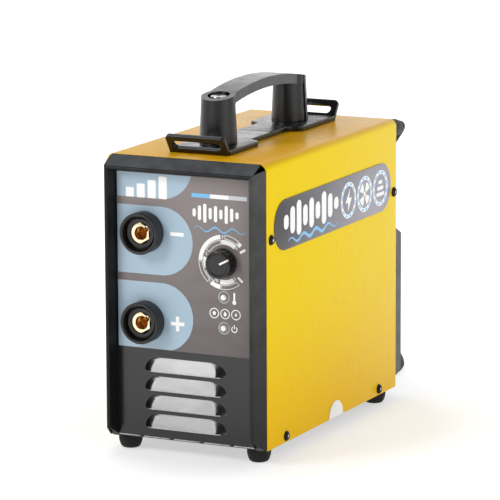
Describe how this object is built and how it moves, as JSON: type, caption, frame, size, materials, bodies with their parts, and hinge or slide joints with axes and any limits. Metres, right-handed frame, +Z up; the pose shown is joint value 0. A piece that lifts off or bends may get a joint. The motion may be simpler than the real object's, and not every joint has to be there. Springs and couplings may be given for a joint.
{
  "type": "stick welder",
  "caption": "Portable inverter stick welder in a folded steel case with a carrying handle, recessed control panel, welding sockets, current dial, rear fan guard and coiled mains cord.",
  "frame": {"origin": "on the floor under the middle of the machine's box, leaving out the free mains cord, its gland and its plug", "axes": "+Z up, -Y out of the control panel, +X to the right of a person who faces the panel"},
  "size_m": [0.2002, 0.4942, 0.3205],
  "materials": {
    "yellow_paint": "fine textured powder coat",
    "black_paint": "fine textured powder coat",
    "grey_paint": "satin powder coat",
    "guard_plastic": "moulded, fine grain",
    "front_film": "printed polyester film, satin",
    "side_film": "printed polyester film, satin",
    "sticker_paper": "matt paper",
    "foot_rubber": "matt",
    "black_zinc": "blackened",
    "socket_plastic": "glass-filled moulding",
    "socket_brass": "turned",
    "black_plastic": "moulded",
    "copper": "bare copper",
    "knob_plastic": "moulded with a pale pointer",
    "zinc_steel": "zinc plated",
    "lamp_lens": "frosted",
    "circuit_board": "solder resist",
    "handle_plastic": "moulded, fine grain",
    "strap_plastic": "moulded, fine grain",
    "heat_sink_alloy": "extruded",
    "ferrite": "sintered",
    "winding_tape": "tape over copper turns",
    "capacitor_sleeve": "shrink sleeve",
    "rocker_plastic": "satin moulding",
    "gland_plastic": "moulded",
    "cord_rubber": "matt jacket",
    "plug_rubber": "moulded"
  },
  "bodies": {
    "chassis": {"cover": "yellow_paint", "front_panel": "black_paint", "base_plate": "grey_paint", "rear_panel": "grey_paint", "rear_guard": "guard_plastic", "front_label": "front_film", "right_label": "side_film", "seal_sticker": "sticker_paper", "front_left_foot": "foot_rubber", "rear_left_foot": "foot_rubber", "front_right_foot": "foot_rubber", "rear_right_foot": "foot_rubber", "cover_screw_left_front_upper": "black_zinc", "cover_screw_left_rear_upper": "black_zinc", "cover_screw_left_front_lower": "black_zinc", "cover_screw_left_rear_lower": "black_zinc", "cover_screw_right_front_upper": "black_zinc", "cover_screw_right_rear_upper": "black_zinc", "cover_screw_right_front_lower": "black_zinc", "cover_screw_right_rear_lower": "black_zinc", "negative_socket_body": "socket_plastic", "negative_socket_contact": "socket_brass", "negative_socket_nut": "black_plastic", "positive_socket_body": "socket_plastic", "positive_socket_contact": "socket_brass", "positive_socket_nut": "black_plastic", "negative_busbar": "copper", "positive_busbar": "copper", "potentiometer_body": "black_plastic", "thermal_lamp_lens": "lamp_lens", "thermal_lamp_holder": "black_plastic", "power_lamp_lens": "lamp_lens", "power_lamp_holder": "black_plastic", "control_board": "circuit_board", "handle": "handle_plastic", "front_strap_plate": "strap_plastic", "rear_strap_plate": "strap_plastic", "handle_screw_front": "zinc_steel", "handle_nut_front": "zinc_steel", "handle_screw_rear": "zinc_steel", "handle_nut_rear": "zinc_steel", "fan_frame": "black_plastic", "primary_heat_sink": "heat_sink_alloy", "secondary_heat_sink": "heat_sink_alloy", "power_board": "circuit_board", "transformer_core": "ferrite", "transformer_winding": "winding_tape", "output_choke": "copper", "bulk_capacitor_1": "capacitor_sleeve", "bulk_capacitor_2": "capacitor_sleeve", "power_switch_body": "black_plastic", "cable_gland": "gland_plastic", "power_cord": "cord_rubber", "cord_tail": "cord_rubber", "cord_coil": "cord_rubber", "power_plug": "plug_rubber"},
    "knob": {"current_knob": "knob_plastic", "potentiometer_shaft": "zinc_steel"},
    "fan": {"fan_rotor": "black_plastic"},
    "rocker": {"power_switch_rocker": "rocker_plastic"}
  },
  "joints": [
    {"name": "knob_turn", "type": "hinge", "parent": "chassis", "child": "knob", "pos_m": [0.0383, -0.1463, 0.178], "axis": [0, -1, 0], "range_deg": [0, 286]},
    {"name": "fan_spin", "type": "hinge", "parent": "chassis", "child": "fan", "pos_m": [0, 0.1222, 0.0915], "axis": [0, 1, 0], "continuous": true},
    {"name": "switch_rock", "type": "hinge", "parent": "chassis", "child": "rocker", "pos_m": [-0.038, 0.1348, 0.2225], "axis": [1, 0, 0], "range_deg": [0, 22]}
  ]
}
